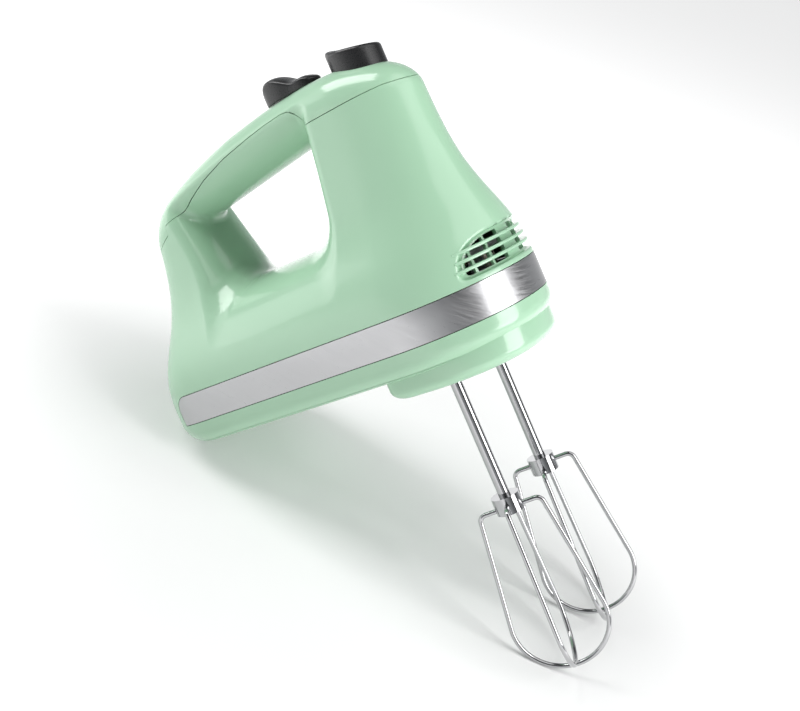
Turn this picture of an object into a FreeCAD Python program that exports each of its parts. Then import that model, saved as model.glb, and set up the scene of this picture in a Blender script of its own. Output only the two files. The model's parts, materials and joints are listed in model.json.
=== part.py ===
import FreeCAD, Part
import Sketcher
import math
import os

os.makedirs("parts", exist_ok=True)

# Hand mixer. Millimetres. The mixer is drawn level: X runs from the heel to the nose, Y to the
# user's left and Z up, with Z = 0 at the lower edge of the housing. The last section turns the
# whole assembly to the way it rests on a table, on its heel and both beater tips.

V = FreeCAD.Vector
Z_AXIS = V(0, 0, 1)
X_AXIS = V(1, 0, 0)
Y_AXIS = V(0, 1, 0)

doc = FreeCAD.newDocument("HandMixer")
sheet = doc.addObject("Spreadsheet::Sheet", "Sizes")

DRIVING = [
    # housing
    ("body_length", 200), ("body_half_width", 45), ("wall", 2.6), ("crown_radius", 14),
    ("seam_gap", 0.2), ("floor_height", 1.5), ("floor_thickness", 2),
    # trim band
    ("band_low", 12), ("band_height", 14.2), ("band_depth", 1.3), ("band_tail", 19), ("band_gap", 0.25),
    ("band_corner", 8),
    # skirt round the beater sockets
    ("skirt_rear", 129), ("skirt_front", 197), ("skirt_half_width", 39.5), ("skirt_drop", 9.2),
    ("skirt_wall", 2.6),
    # air vents
    ("vent_low", 29.6), ("vent_high", 42.6), ("vent_rows", 4), ("vent_fin", 1.4),
    # drive
    ("motor_height", 30), ("motor_centre", 88), ("stator_radius", 24), ("stator_bore", 15.6),
    ("stack_length", 30), ("armature_radius", 15), ("armature_slots", 12), ("motor_shaft_radius", 3),
    ("fit_gap", 0.05),
    ("spindle_x", 158), ("spindle_spacing", 42), ("spindle_radius", 5.5), ("spindle_top", 38.5),
    ("wheel_radius", 17.2), ("wheel_teeth", 36), ("wheel_low", 26),
    ("wheel_width", 8), ("worm_radius", 3.6), ("worm_root", 2.6), ("worm_starts", 3),
    ("worm_length", 22), ("fan_radius", 19.5), ("fan_blades", 10), ("commutator_radius", 9),
    # beaters
    ("beater_shaft_radius", 2.6), ("beater_top", 46), ("collar_top", -65), ("collar_height", 7.8),
    ("collar_radius", 6.4), ("wire_radius", 1.1), ("cage_radius", 21.6), ("cage_bottom", -147.2),
    ("cage_shoulder", 14.2), ("loop_step", 2.4), ("wire_hole_drop", 3.6),
    # controls
    ("button_x", 163.4), ("button_radius", 11.9), ("button_low", 112),
    ("rod_radius", 2.5), ("plate_low", 46.3), ("plate_thickness", 2.5), ("spring_radius", 5.6),
    ("spring_wire", 0.5), ("spring_turns", 6), ("guide_height", 92),
    ("slider_rear", 113), ("slider_length", 29), ("slider_half_width", 8.4), ("slider_low", 130.7),
    ("slider_height", 10.5), ("slider_travel", 8), ("stem_half_width", 2.4),
    # fasteners and electrics
    ("boss_radius", 4), ("screw_radius", 1.5), ("screw_head_radius", 3), ("lead_bore", 3.6),
    ("gland_radius", 5.4), ("board_thickness", 1.6), ("bushing_radius", 8), ("ring_radius", 6),
]
for row, (alias, number) in enumerate(DRIVING, start=1):
    sheet.set(f"A{row}", alias)
    sheet.set(f"B{row}", str(number))
    sheet.setAlias(f"B{row}", alias)
doc.recompute()


def size(alias):
    """A driving dimension, read back from the sheet."""
    return float(sheet.get(alias))


PARTS = []


def keep(item, label):
    """Names a finished sub-part."""
    item.Label = label
    PARTS.append(item)
    return item


# ---------------------------------------------------------------- helpers for bound primitives

def bind(item, **formulas):
    """Ties properties to the sheet; a bare word in a formula is one of its aliases."""
    for name, formula in formulas.items():
        words = formula.replace("(", " ( ").replace(")", " ) ").split()
        text = " ".join("Sizes." + w if w[0].isalpha() else w for w in words)
        item.setExpression(name, text)
    return item


def rod(radius, height, at=V(), axis=Z_AXIS):
    """A cylinder whose radius and height are formulas; at is the centre of its first face."""
    item = bind(doc.addObject("Part::Cylinder", "Rod"), Radius=radius, Height=height)
    item.Placement = FreeCAD.Placement(at, FreeCAD.Rotation(Z_AXIS, axis))
    return item


def block(length, width, height, at=V()):
    """A box whose sides are formulas, centred on at in X and Y, with its base at that height."""
    item = bind(doc.addObject("Part::Box", "Block"), Length=length, Width=width, Height=height)
    doc.recompute()
    item.Placement.Base = V(at.x - item.Length.Value / 2, at.y - item.Width.Value / 2, at.z)
    return item


def fuse(*items):
    item = doc.addObject("Part::MultiFuse", "Join")
    item.Shapes = list(items)
    return item


def cut(base, *tools):
    item = doc.addObject("Part::Cut", "Cut")
    item.Base = base
    item.Tool = tools[0] if len(tools) == 1 else fuse(*tools)
    return item


def common(first, second):
    item = doc.addObject("Part::Common", "Common")
    item.Base = first
    item.Tool = second
    return item


def tube(outer, inner, height, at=V(), axis=Z_AXIS):
    return cut(rod(outer, height, at, axis), rod(inner, height, at, axis))


def group(*items):
    """Separate solids that share one node."""
    item = doc.addObject("Part::Compound", "Group")
    item.Links = list(items)
    return item


def feature(shape, name="Shape"):
    item = doc.addObject("Part::Feature", name)
    item.Shape = shape
    return item


# ---------------------------------------------------------------- helpers for PartDesign bodies

def origin_plane(body, role):
    return next(f for f in body.Origin.OriginFeatures if f.Role == role)


def sketch_on(body, role="XY_Plane"):
    sketch = body.newObject("Sketcher::SketchObject", "Sketch")
    sketch.AttachmentSupport = (origin_plane(body, role), [""])
    sketch.MapMode = "FlatFace"
    return sketch


def add_circle(sketch, radius, x=0.0, y=0.0):
    """A circle with its radius tied to the sheet."""
    index = sketch.addGeometry(Part.Circle(V(x, y, 0), Z_AXIS, 5), False)
    dim = sketch.addConstraint(Sketcher.Constraint("Radius", index, 5))
    words = radius.split()
    formula = " ".join("Sizes." + w if w[0].isalpha() else w for w in words)
    sketch.setExpression(f"Constraints[{dim}]", formula)
    return index


def add_outline(sketch, corners):
    """A closed outline of straight sides."""
    for (ax, ay), (bx, by) in zip(corners, corners[1:] + corners[:1]):
        sketch.addGeometry(Part.LineSegment(V(ax, ay, 0), V(bx, by, 0)), False)


def padded_body(name, height, circles=(), corners=None):
    """A body made by one pad; circles are (radius formula, x, y), the first one outermost."""
    body = doc.addObject("PartDesign::Body", name)
    sketch = sketch_on(body)
    if corners:
        add_outline(sketch, corners)
    for radius, x, y in circles:
        add_circle(sketch, radius, x, y)
    pad = body.newObject("PartDesign::Pad", "Pad")
    pad.Profile = sketch
    bind(pad, Length=height)
    body.Tip = pad
    doc.recompute()
    return body


def slotted_body(name, outer, bore, height, count, slot_depth, slot_width):
    """A disc with a ring of radial slots: a gear blank or a lamination stack."""
    body = padded_body(name, height, [(outer, 0, 0), (bore, 0, 0)])
    pad = body.Tip
    radius = pad.Profile[0].Geometry[0].Radius
    sketch = sketch_on(body)
    low, high = radius - slot_depth, radius + 1
    half = slot_width / 2
    add_outline(sketch, [(low, -half * 0.7), (high, -half), (high, half), (low, half * 0.7)])
    pocket = body.newObject("PartDesign::Pocket", "Slot")
    pocket.Profile = sketch
    pocket.Type = 1
    pocket.Midplane = True
    body.Tip = pocket
    doc.recompute()
    ring = body.newObject("PartDesign::PolarPattern", "Ring")
    ring.Originals = [pocket]
    ring.Axis = (sketch, ["N_Axis"])
    ring.Angle = 360
    ring.Occurrences = int(size(count))
    body.Tip = ring
    doc.recompute()
    return body


# ---------------------------------------------------------------- outer form of the housing

# Level sections from the lower edge to above the crown: height, half width, rear end, front end,
# the last three as shares of body_half_width and body_length.
SECTIONS = [
    (0, 0.855, 0.040, 0.965), (2.5, 0.933, 0.0175, 0.985), (7, 0.987, 0, 0.997),
    (12, 1, -0.005, 1), (26, 1, -0.0025, 1), (35, 0.964, 0.0075, 0.9975), (43, 0.889, 0.0225, 0.993),
    (50, 0.8, 0.04, 0.985), (57, 0.711, 0.0575, 0.973), (65, 0.627, 0.075, 0.959),
    (75, 0.564, 0.0925, 0.945), (87, 0.529, 0.1075, 0.936), (100, 0.507, 0.12, 0.932),
    (115, 0.489, 0.13, 0.93), (140, 0.467, 0.14, 0.925),
]
NOSE_LENGTH = 52
TAIL_LENGTH = 34
NOSE_FULLNESS = 2.15
TAIL_FULLNESS = 2.5

# Ridge of the crown in side view, (x, z)
RIDGE = [
    (-40, 60), (-15, 84), (10, 101), (26, 109.5), (45, 117), (65, 122.6), (90, 127.3), (115, 129.6),
    (140, 130.2), (155, 129.4), (168, 126.6), (178, 122.3), (186, 114), (192, 100), (205, 60),
]


def rounded_end(tip, reach, half, fullness, steps=4):
    """Points of a superellipse end, swept from -Y to +Y; reach is signed."""
    points = []
    for i in range(-steps, steps + 1):
        angle = math.pi / 2 * i / steps
        along = abs(math.cos(angle)) ** (2 / fullness)
        across = math.copysign(abs(math.sin(angle)) ** (2 / fullness), angle)
        points.append((tip - reach + reach * along, half * across))
    return points


def closed_spline(points):
    curve = Part.BSplineCurve()
    curve.interpolate(points, PeriodicFlag=True)
    return Part.Wire([curve.toShape()])


def level_section(height, half, rear, front, nose, tail):
    """A level outline with a full nose, nearly straight sides and a rounder tail."""
    nose_points = rounded_end(front, nose, half, NOSE_FULLNESS)
    tail_points = rounded_end(rear, -tail, half, TAIL_FULLNESS)
    nose_end, tail_end = front - nose, rear + tail
    side = [nose_end + (tail_end - nose_end) * i / 3 for i in (1, 2)]
    outline = nose_points + [(x, half) for x in side]
    outline += list(reversed(tail_points)) + [(x, -half) for x in reversed(side)]
    return closed_spline([V(x, y, height) for x, y in outline])


def side_profile(curve_points, floor, half_depth=60):
    """The solid under a side-view curve, between the curve and a level floor."""
    curve = Part.BSplineCurve()
    curve.interpolate([V(x, -half_depth, z) for x, z in curve_points])
    (x0, z0), (x1, z1) = curve_points[0], curve_points[-1]
    a, b = V(x0, -half_depth, z0), V(x1, -half_depth, z1)
    c, d = V(x1, -half_depth, floor), V(x0, -half_depth, floor)
    sides = [Part.makeLine(b, c), Part.makeLine(c, d), Part.makeLine(d, a)]
    return Part.Face(Part.Wire([curve.toShape()] + sides)).extrude(V(0, 2 * half_depth, 0))


def section_at(height):
    """Half width, rear end, front end, nose length and tail length at a height."""
    below = max(row for row in SECTIONS if row[0] <= height)
    above = min(row for row in SECTIONS if row[0] >= height)
    share = 0 if above is below else (height - below[0]) / (above[0] - below[0])
    half, rear, front = (low + share * (high - low) for low, high in zip(below[1:], above[1:]))
    length, width = size("body_length"), size("body_half_width")
    nose, tail = NOSE_LENGTH * half ** 0.6, TAIL_LENGTH * half ** 0.7
    return half * width, rear * length, front * length, nose, tail


def outer_form():
    """The housing's outer skin as one solid."""
    wires = [level_section(row[0], *section_at(row[0])) for row in SECTIONS]
    tower = Part.makeLoft(wires, True, False, False, 3)
    form = tower.common(side_profile(RIDGE, -20))
    crown = [e for e in form.Edges if e.BoundBox.ZMin > 80 and e.Length > size("body_length")]
    return form.makeFillet(size("crown_radius"), crown)


def level_prism(height, inset, low, high):
    """An upright prism on the outline at one height, moved inwards by inset."""
    half, rear, front, nose, tail = section_at(height)
    wire = level_section(low, half - inset, rear + inset, front - inset, nose - 0.8 * inset, tail - 0.8 * inset)
    return Part.Face(wire).extrude(V(0, 0, high - low))


def faceted_core(levels, inset):
    """A flat-sided core that follows the level sections from inside."""
    wires = []
    for height in levels:
        half, rear, front, nose, tail = section_at(height)
        outline = rounded_end(front - inset, nose, half - inset, 2)
        outline += list(reversed(rounded_end(rear + inset, -tail, half - inset, 2, steps=3)))
        points = [V(x, y, height) for x, y in outline]
        wires.append(Part.makePolygon(points + points[:1]))
    return Part.makeLoft(wires, True, True)


# The grip opening: control points of its outline on the centre plane, and how far each has moved
# where the opening meets the outside of the housing, FLARE_AT from the centre plane.
FLARE_AT = 35
FLARE_POWER = 2.5
OPENING = [
    # x, z, flare x, flare z
    (54, 99, -22, 3), (57, 84, -16, -4), (61, 71, -8, -6), (70, 64.8, -7.5, -11),
    (86, 64.3, -2, -14), (104, 64.3, 2, -13.5), (120, 67, 5, -10.6), (129.5, 77, 13, -8),
    (134, 91, 18, 0), (134, 102, 24, 19), (122, 106.6, 8, 60), (92, 103.8, -8, 60),
    (66, 100.2, -30, 36),
]
OPENING_STATIONS = (0, 10, 18, 24, 30, 36, 42)


def grip_opening():
    """The solid that cuts the grip opening."""
    wires = []
    for y in sorted({s * y for y in OPENING_STATIONS for s in (-1, 1)}):
        flare = (abs(y) / FLARE_AT) ** FLARE_POWER
        points = [(x + flare * fx, z + flare * fz) for x, z, fx, fz in OPENING]
        depth = y * 60 / OPENING_STATIONS[-1] if abs(y) == OPENING_STATIONS[-1] else y
        wires.append(closed_spline([V(x, depth, z) for x, z in points]))
    return Part.makeLoft(wires, True, False, False, 3)


# Seam between the top cover and the housing in side view: up the heel, a short riser, along the
# grip, down into the head and level to the nose.
SEAM_GRIP = [
    (43, 104.4), (52.5, 107.1), (60.4, 110.2), (74.3, 114.8), (90, 118.6), (108.2, 121.3),
    (120, 122.6), (131, 122.9), (135.6, 121.2), (137.5, 117.8), (138.6, 113.9),
]
SEAM_HEAD = [(138.6, 113.9), (152.9, 113.8), (164.2, 113.9), (178, 114), (190, 112.5), (210, 108.5)]
SEAM_HEEL = [(-40, 66), (42, 99.5)]


def above_seam(lift):
    """Everything above the seam, lifted by a little so that a gap can be left."""
    edges = []
    for points in (SEAM_GRIP, SEAM_HEAD):
        curve = Part.BSplineCurve()
        curve.interpolate([V(x, -60, z + lift) for x, z in points])
        edges.append(curve.toShape())
    heel = [V(x, -60, z + lift) for x, z in SEAM_HEEL]
    grip_start = V(SEAM_GRIP[0][0], -60, SEAM_GRIP[0][1] + lift)
    nose_end = V(SEAM_HEAD[-1][0], -60, SEAM_HEAD[-1][1] + lift)
    corners = [nose_end, V(nose_end.x, -60, 180), V(heel[0].x, -60, 180), heel[0], heel[1], grip_start]
    edges += [Part.makeLine(a, b) for a, b in zip(corners, corners[1:])]
    return Part.Face(Part.Wire(Part.__sortEdges__(edges))).extrude(V(0, 120, 0))


def slab(low, high, x_low=-60, x_high=260):
    return Part.makeBox(x_high - x_low, 160, high - low, V(x_low, -80, low))


GRIP_CORE = [(32, 107.5), (47, 106.5), (60, 106.5), (95, 110.4), (124, 113.2), (148, 113.2), (148, 126),
             (120, 126), (90, 123), (60, 117.5), (40, 110)]
GRIP_CORE_HALF = 9.5
BARREL_RADIUS = 27.5
GEARBOX_REAR, GEARBOX_TOP, HEAD_REAR = 126, 50, 145.5


def cavity_form():
    """The hollow inside the housing: low room, motor barrel, gearbox, head and grip."""
    inset = size("wall")
    low_room = faceted_core((floor_high, 12, 26, 35, 43), inset).common(slab(0, 33))
    middle = faceted_core((30, 35, 43, 50, 57), inset)
    barrel = Part.makeCylinder(BARREL_RADIUS, GEARBOX_REAR + 5, V(0, 0, size("motor_height")), X_AXIS)
    gearbox = middle.common(slab(0, GEARBOX_TOP, GEARBOX_REAR))
    head = faceted_core((35, 50, 65, 87, 110, 121), inset).common(slab(0, 140, HEAD_REAR))
    corners = [V(x, -GRIP_CORE_HALF, z) for x, z in GRIP_CORE]
    grip = Part.Face(Part.makePolygon(corners + corners[:1])).extrude(V(0, 2 * GRIP_CORE_HALF, 0))
    return low_room.multiFuse([middle.common(barrel), gearbox, head, grip])


floor_low = size("floor_height")
floor_high = floor_low + size("floor_thickness")
outer = outer_form()
opening = grip_opening()
seam = above_seam(0)
shell = outer.cut(opening).cut(cavity_form())


# ---------------------------------------------------------------- skirt and base cover

SKIRT_NOSE, SKIRT_TAIL, SKIRT_TOP = 45, 16, 6


def skirt_form(inset, rim_radius):
    """The D-shaped collar under the nose, from inside the housing down to its rounded rim."""
    rear, front = size("skirt_rear") + inset, size("skirt_front") - inset
    half, low = size("skirt_half_width") - inset, inset - size("skirt_drop")
    nose = rounded_end(front, SKIRT_NOSE - inset, half, 2.3)
    tail = rounded_end(rear, inset - SKIRT_TAIL, half, 3)
    middle = (front - SKIRT_NOSE + rear + SKIRT_TAIL) / 2
    outline = nose + [(middle, half)] + list(reversed(tail)) + [(middle, -half)]
    wire = closed_spline([V(x, y, low) for x, y in outline])
    block_form = Part.Face(wire).extrude(V(0, 0, SKIRT_TOP - low))
    rim = [e for e in block_form.Edges if e.BoundBox.ZMax < low + 0.1]
    return block_form.makeFillet(rim_radius, rim)


skirt_outer = skirt_form(0, 5)
skirt_inner = skirt_form(size("skirt_wall"), 2.5)
spindle_places = [V(size("spindle_x"), side * size("spindle_spacing") / 2, 0) for side in (1, -1)]


def boss_places():
    return [(27, 22), (27, -22), (112, 27), (112, -27)]


floor_rim = outer.common(slab(-1, floor_low - size("seam_gap")))
FLOOR_LEVEL, FLOOR_INSET = 2.5, size("wall") + 1.6
floor_plate = level_prism(FLOOR_LEVEL, FLOOR_INSET, floor_low - 1, floor_high).fuse(floor_rim)
base = floor_plate.fuse(skirt_outer.common(slab(-20, floor_high + 0.4)))
base = base.cut(skirt_inner)
for place in spindle_places:
    socket = Part.makeCylinder(8.4, 8, place + V(0, 0, -size("skirt_drop") + 0.5))
    base = base.fuse(socket.common(skirt_outer))
    base = base.cut(Part.makeCylinder(size("spindle_radius") + 0.7, 40, place + V(0, 0, -20)))
screw_clear = size("screw_radius") + 0.2
for x, y in boss_places():
    base = base.cut(Part.makeCylinder(screw_clear, 20, V(x, y, -8)))
    base = base.cut(Part.makeCylinder(size("screw_head_radius") + 0.3, 9, V(x, y, -8)))
keep(feature(base.removeSplitter(), "Base"), "base_cover")


# ---------------------------------------------------------------- main housing

def band_region(grow):
    """Side-view outline of the trim band, swept across the mixer; its upper tail corner is round."""
    low, high = size("band_low") - grow, size("band_low") + size("band_height") + grow
    tail, radius = size("band_tail") - grow, size("band_corner")
    arc = Part.Arc(V(tail, -80, high - radius), V(tail + radius * (1 - math.sqrt(0.5)), -80,
                   high - radius * (1 - math.sqrt(0.5))), V(tail + radius, -80, high)).toShape()
    corners = [V(tail + radius, -80, high), V(260, -80, high), V(260, -80, low), V(tail, -80, low),
               V(tail, -80, high - radius)]
    edges = [arc] + [Part.makeLine(a, b) for a, b in zip(corners, corners[1:])]
    return Part.Face(Part.Wire(Part.__sortEdges__(edges))).extrude(V(0, 160, 0))


# Air slots: start and end angles about an upright axis through VENT_CENTRE.
VENT_SECTORS = [(7, 18), (19.4, 29.6), (31, 37.3)]
VENT_CENTRE, VENT_INNER, VENT_OUTER = 150, 40.3, 62


def vent_slots():
    """Rows of air slots round the nose, split by upright ribs and by two plain stretches."""
    low, high, rows = size("vent_low"), size("vent_high"), int(size("vent_rows"))
    pitch = (high - low + size("vent_fin")) / rows
    centre = V(VENT_CENTRE, 0, 0)
    inner = Part.makeCylinder(VENT_INNER, pitch, centre)
    spans = VENT_SECTORS + [(-end, -start) for start, end in VENT_SECTORS]
    slots = []
    for row in range(rows):
        for start, end in spans:
            wedge = Part.makeCylinder(VENT_OUTER, pitch - size("vent_fin"), centre, Z_AXIS, end - start)
            wedge = wedge.cut(inner)
            wedge.rotate(centre, Z_AXIS, start)
            wedge.translate(V(0, 0, low + row * pitch))
            slots.append(wedge)
    return Part.makeCompound(slots)


BOSS_TOP = 48

housing = shell.cut(seam).cut(slab(-5, floor_low))
housing = housing.cut(level_prism(FLOOR_LEVEL, FLOOR_INSET - 0.3, 0, floor_high + 0.2))
bosses = [Part.makeCylinder(size("boss_radius"), BOSS_TOP - floor_high, V(x, y, floor_high + 0.2))
          for x, y in boss_places()]
pilots = [Part.makeCylinder(size("screw_radius") + 0.05, 17, V(x, y, 0)) for x, y in boss_places()]
housing = housing.multiFuse(bosses).cut(Part.makeCompound(pilots))
recess = level_prism(20, -2, 5, 33).cut(level_prism(20, size("band_depth") + size("band_gap"), 5, 33))
housing = housing.cut(recess.common(band_region(size("band_gap"))))
housing = housing.cut(skirt_form(-0.3, 5))
housing = housing.cut(vent_slots())
gland_at = V(-6, 0, size("motor_height"))
housing = housing.cut(Part.makeCylinder(size("gland_radius") + 0.1, 16, gland_at, X_AXIS))
keep(feature(housing, "Housing"), "main_housing")

# trim band
band = outer.common(band_region(0)).cut(level_prism(20, size("band_depth"), 0, 40))
keep(feature(band, "Band"), "trim_band")

# ---------------------------------------------------------------- top cover

cover = shell.common(above_seam(size("seam_gap")))
button_well = Part.makeCylinder(size("button_radius") + 0.4, 60, V(size("button_x"), 0, 100))
stem_x = size("slider_rear") + 10
stem_length = 8
stem_slot = Part.makeBox(stem_length + size("slider_travel") + 1, 2 * size("stem_half_width") + 1, 30,
                         V(stem_x - 0.5, -size("stem_half_width") - 0.5, 112))
cover = cover.cut(button_well).cut(stem_slot)
keep(feature(cover, "Cover"), "top_cover")

# ---------------------------------------------------------------- motor

motor_at = V(size("motor_centre"), 0, size("motor_height"))


def on_motor(x):
    return V(x, 0, size("motor_height"))


stack_start = size("motor_centre") - size("stack_length") / 2
yoke = tube("stator_radius", "stator_radius - 4.5", "stack_length", on_motor(stack_start), X_AXIS)
pole_ring = tube("stator_radius - 4.4", "stator_bore", "stack_length", on_motor(stack_start), X_AXIS)
pole_zone = block("stack_length", "18", "2 * stator_radius", motor_at - V(0, 0, size("stator_radius")))
rod_holes = [rod("screw_radius + 0.05", "stack_length + 2",
                 on_motor(stack_start - 1) + V(0, side * 21.75, 0), X_AXIS) for side in (1, -1)]
keep(cut(fuse(yoke, common(pole_ring, pole_zone)), *rod_holes), "stator_core")

coil_start = size("motor_centre") - size("stack_length") / 2 - 6
coil_ring = tube("stator_radius - 4.8", "stator_bore + 0.4", "stack_length + 12", on_motor(coil_start), X_AXIS)
coil_zone = block("stack_length + 12", "27", "2 * stator_radius", motor_at - V(0, 0, size("stator_radius")))
pole_clear = block("stack_length + 1", "18.6", "3 * stator_radius",
                   motor_at - V(0, 0, 1.5 * size("stator_radius")))
keep(cut(common(coil_ring, coil_zone), pole_clear), "field_coils")

TURN_TO_X = FreeCAD.Rotation(Z_AXIS, X_AXIS)
core = slotted_body("ArmatureCore", "armature_radius", "motor_shaft_radius + 0.02", "stack_length",
                    "armature_slots", 8, 3.2)
core.Placement = FreeCAD.Placement(on_motor(stack_start), TURN_TO_X)
keep(core, "armature_core")

winding_front = tube("armature_radius - 1.6", "motor_shaft_radius + 1.5", "7",
                     on_motor(stack_start + size("stack_length") + 0.1), X_AXIS)
winding_rear = tube("armature_radius - 1.6", "motor_shaft_radius + 1.5", "7", on_motor(stack_start - 7.1), X_AXIS)
winding_back = doc.addObject("Part::Fillet", "WindingBack")
winding_nose = doc.addObject("Part::Fillet", "WindingNose")
doc.recompute()
for rounded, plain in ((winding_front, winding_nose), (winding_rear, winding_back)):
    plain.Base = rounded
    rims = [i + 1 for i, e in enumerate(rounded.Shape.Edges) if abs(e.Length - 2 * math.pi * 13.4) < 0.5]
    plain.Edges = [(i, 2.4, 2.4) for i in rims]
keep(group(winding_nose, winding_back), "armature_winding")

shaft_start, shaft_end = 42, 175
shaft = rod("motor_shaft_radius", str(shaft_end - shaft_start), on_motor(shaft_start), X_AXIS)
worm_start = size("spindle_x") - size("worm_length") / 2
thin_end = tube("motor_shaft_radius + 1", "motor_shaft_radius - 0.6", "60", on_motor(worm_start - 4), X_AXIS)
keep(cut(shaft, thin_end), "motor_shaft")

commutator = slotted_body("Commutator", "commutator_radius", "motor_shaft_radius + 0.02", "10",
                          "armature_slots", 1.2, 0.5)
commutator.Placement = FreeCAD.Placement(on_motor(54), TURN_TO_X)
keep(commutator, "commutator")

brush_gap = size("commutator_radius") + 0.3
brushes = [block("6", "9", "5", V(59, side * (brush_gap + 4.5), size("motor_height") - 2.5)) for side in (1, -1)]
keep(group(*brushes), "carbon_brushes")
holders = []
for side in (1, -1):
    at = V(59, side * (brush_gap + 7.6), size("motor_height") - 4)
    holders.append(cut(block("9", "12", "8", at), block("6.1", "11", "5.1", at + V(0, -side * 1.2, 1.45))))
keep(group(*holders), "brush_holders")

# fan
hub = tube("motor_shaft_radius + 4", "motor_shaft_radius + 0.02", "9", on_motor(114), X_AXIS)
disc = tube("fan_radius", "motor_shaft_radius + 3.9", "1.4", on_motor(114), X_AXIS)
blades = []
for i in range(int(size("fan_blades"))):
    blade = Part.makeBox(7.5, 1.2, size("fan_radius") - 8, V(0, -0.6, 6.6))
    blade.rotate(V(0, 0, 6.6), X_AXIS, 14)
    blade.rotate(V(), X_AXIS, 360 * i / size("fan_blades"))
    blade.translate(on_motor(115))
    blades.append(feature(blade, "Blade"))
keep(fuse(hub, disc, *blades), "cooling_fan")

# worm: three starts of a shallow thread on a short sleeve
def worm_shape():
    root, tip = size("worm_root"), size("worm_radius")
    length = size("worm_length")
    sleeve = Part.makeCylinder(root, length)
    lead = size("worm_starts") * math.pi
    path = Part.Wire(Part.makeHelix(lead, length - 4, root).Edges)
    profile = Part.makePolygon([V(root - 0.3, 0, -0.9), V(tip, 0, -0.35), V(tip, 0, 0.35),
                                V(root - 0.3, 0, 0.9), V(root - 0.3, 0, -0.9)])
    worm = sleeve
    for start in range(int(size("worm_starts"))):
        thread = path.makePipeShell([profile], True, True)
        thread.translate(V(0, 0, 2))
        thread.rotate(V(), Z_AXIS, 360 * start / size("worm_starts"))
        worm = worm.fuse(thread)
    bore = size("motor_shaft_radius") - 0.58
    return worm.cut(Part.makeCylinder(bore, length + 2, V(0, 0, -1)))


worm = feature(worm_shape(), "Worm")
worm.Placement = FreeCAD.Placement(on_motor(worm_start), TURN_TO_X)
keep(worm, "worm")

# ---------------------------------------------------------------- gearbox

plate_corners = [(127, -31), (168, -31), (183, -18), (183, 18), (168, 31), (127, 31)]
lower_plate = padded_body("LowerPlate", "4", [("bushing_radius + 0.02", p.x, p.y) for p in spindle_places],
                          plate_corners)
lower_plate.Placement.Base = V(0, 0, 4.2)
wall_block = block("3", "58", "42", V(128.5, 0, 6))
bearing_boss = rod("ring_radius + 2.5", "6", on_motor(128), X_AXIS)
pocket_cut = rod("ring_radius + 0.02", "6.2", on_motor(129.5), X_AXIS)
shaft_cut = rod("motor_shaft_radius + 0.6", "12", on_motor(125), X_AXIS)
rod_cuts = [rod("screw_radius + 0.05", "8", on_motor(125) + V(0, side * 21.75, 0), X_AXIS) for side in (1, -1)]
keep(cut(fuse(lower_plate, wall_block, bearing_boss), pocket_cut, shaft_cut, *rod_cuts), "gearbox_frame")

bridge_corners = [(130.2, -33), (166, -33), (181, -20), (181, 20), (166, 33), (130.2, 33)]
bridge = padded_body("Bridge", "3", [("bushing_radius + 0.02", p.x, p.y) for p in spindle_places],
                     bridge_corners)
bridge.Placement.Base = V(0, 0, 35.3)
boss_notch = rod("ring_radius + 2.8", "7", on_motor(128), X_AXIS)
keep(cut(bridge, boss_notch), "gearbox_bridge")

POST_PLACES = ((134.5, 27.5), (134.5, -27.5), (179.2, 0))
posts = [tube("2.6", "screw_radius + 0.05", "26.8", V(x, y, 8.35)) for x, y in POST_PLACES]
keep(group(*posts), "gearbox_posts")

front_bearing = tube("ring_radius", "motor_shaft_radius + fit_gap", "5", on_motor(129.6), X_AXIS)
keep(front_bearing, "front_bearing")
rear_bearing = tube("ring_radius", "motor_shaft_radius + fit_gap", "5", on_motor(45), X_AXIS)
keep(rear_bearing, "rear_bearing")
bracket_ring = tube("ring_radius + 2.5", "ring_radius + 0.02", "5", on_motor(45), X_AXIS)
bracket_leg = block("5", "14", "20", V(47.5, 0, floor_high + 0.2))
bracket_hole = rod("ring_radius + 0.1", "7", on_motor(44), X_AXIS)
keep(fuse(bracket_ring, cut(bracket_leg, bracket_hole)), "rear_bearing_bracket")

SIDES = (("left", 1), ("right", -1))
for name, side in SIDES:
    axis_at = V(size("spindle_x"), side * size("spindle_spacing") / 2, 0)
    wheel = slotted_body(name.title() + "Wheel", "wheel_radius", "spindle_radius + 0.02", "wheel_width",
                         "wheel_teeth", 1.6, 1.6)
    wheel.Placement.Base = axis_at + V(0, 0, size("wheel_low"))
    keep(wheel, f"{name}_worm_wheel")
    low = -size("skirt_drop")
    spindle = tube("spindle_radius", "beater_shaft_radius + 0.08", "spindle_top + skirt_drop",
                   axis_at + V(0, 0, low))
    keep(spindle, f"{name}_spindle")
    bushing = fuse(tube("bushing_radius", "spindle_radius + fit_gap", "20.4", axis_at + V(0, 0, 4)),
                   tube("bushing_radius + 2", "bushing_radius - 0.1", "2", axis_at + V(0, 0, 8.3)))
    keep(bushing, f"{name}_lower_bushing")
    upper = tube("bushing_radius", "spindle_radius + fit_gap", "3", axis_at + V(0, 0, 35.3))
    keep(upper, f"{name}_upper_bushing")
    washer = tube("bushing_radius - 0.5", "spindle_radius + 0.02", "0.9", axis_at + V(0, 0, 24.9))
    keep(washer, f"{name}_thrust_washer")
    clip_low = size("wheel_low") + size("wheel_width") + 0.1
    clip = cut(tube("spindle_radius + 1.2", "spindle_radius + 0.02", "0.8", axis_at + V(0, 0, clip_low)),
               block("4", "4", "2", axis_at + V(size("spindle_radius") + 2, 0, clip_low - 0.6)))
    keep(clip, f"{name}_retaining_clip")

# ---------------------------------------------------------------- beaters

LOOP_TURN = {"left": 22, "right": 113}


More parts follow.
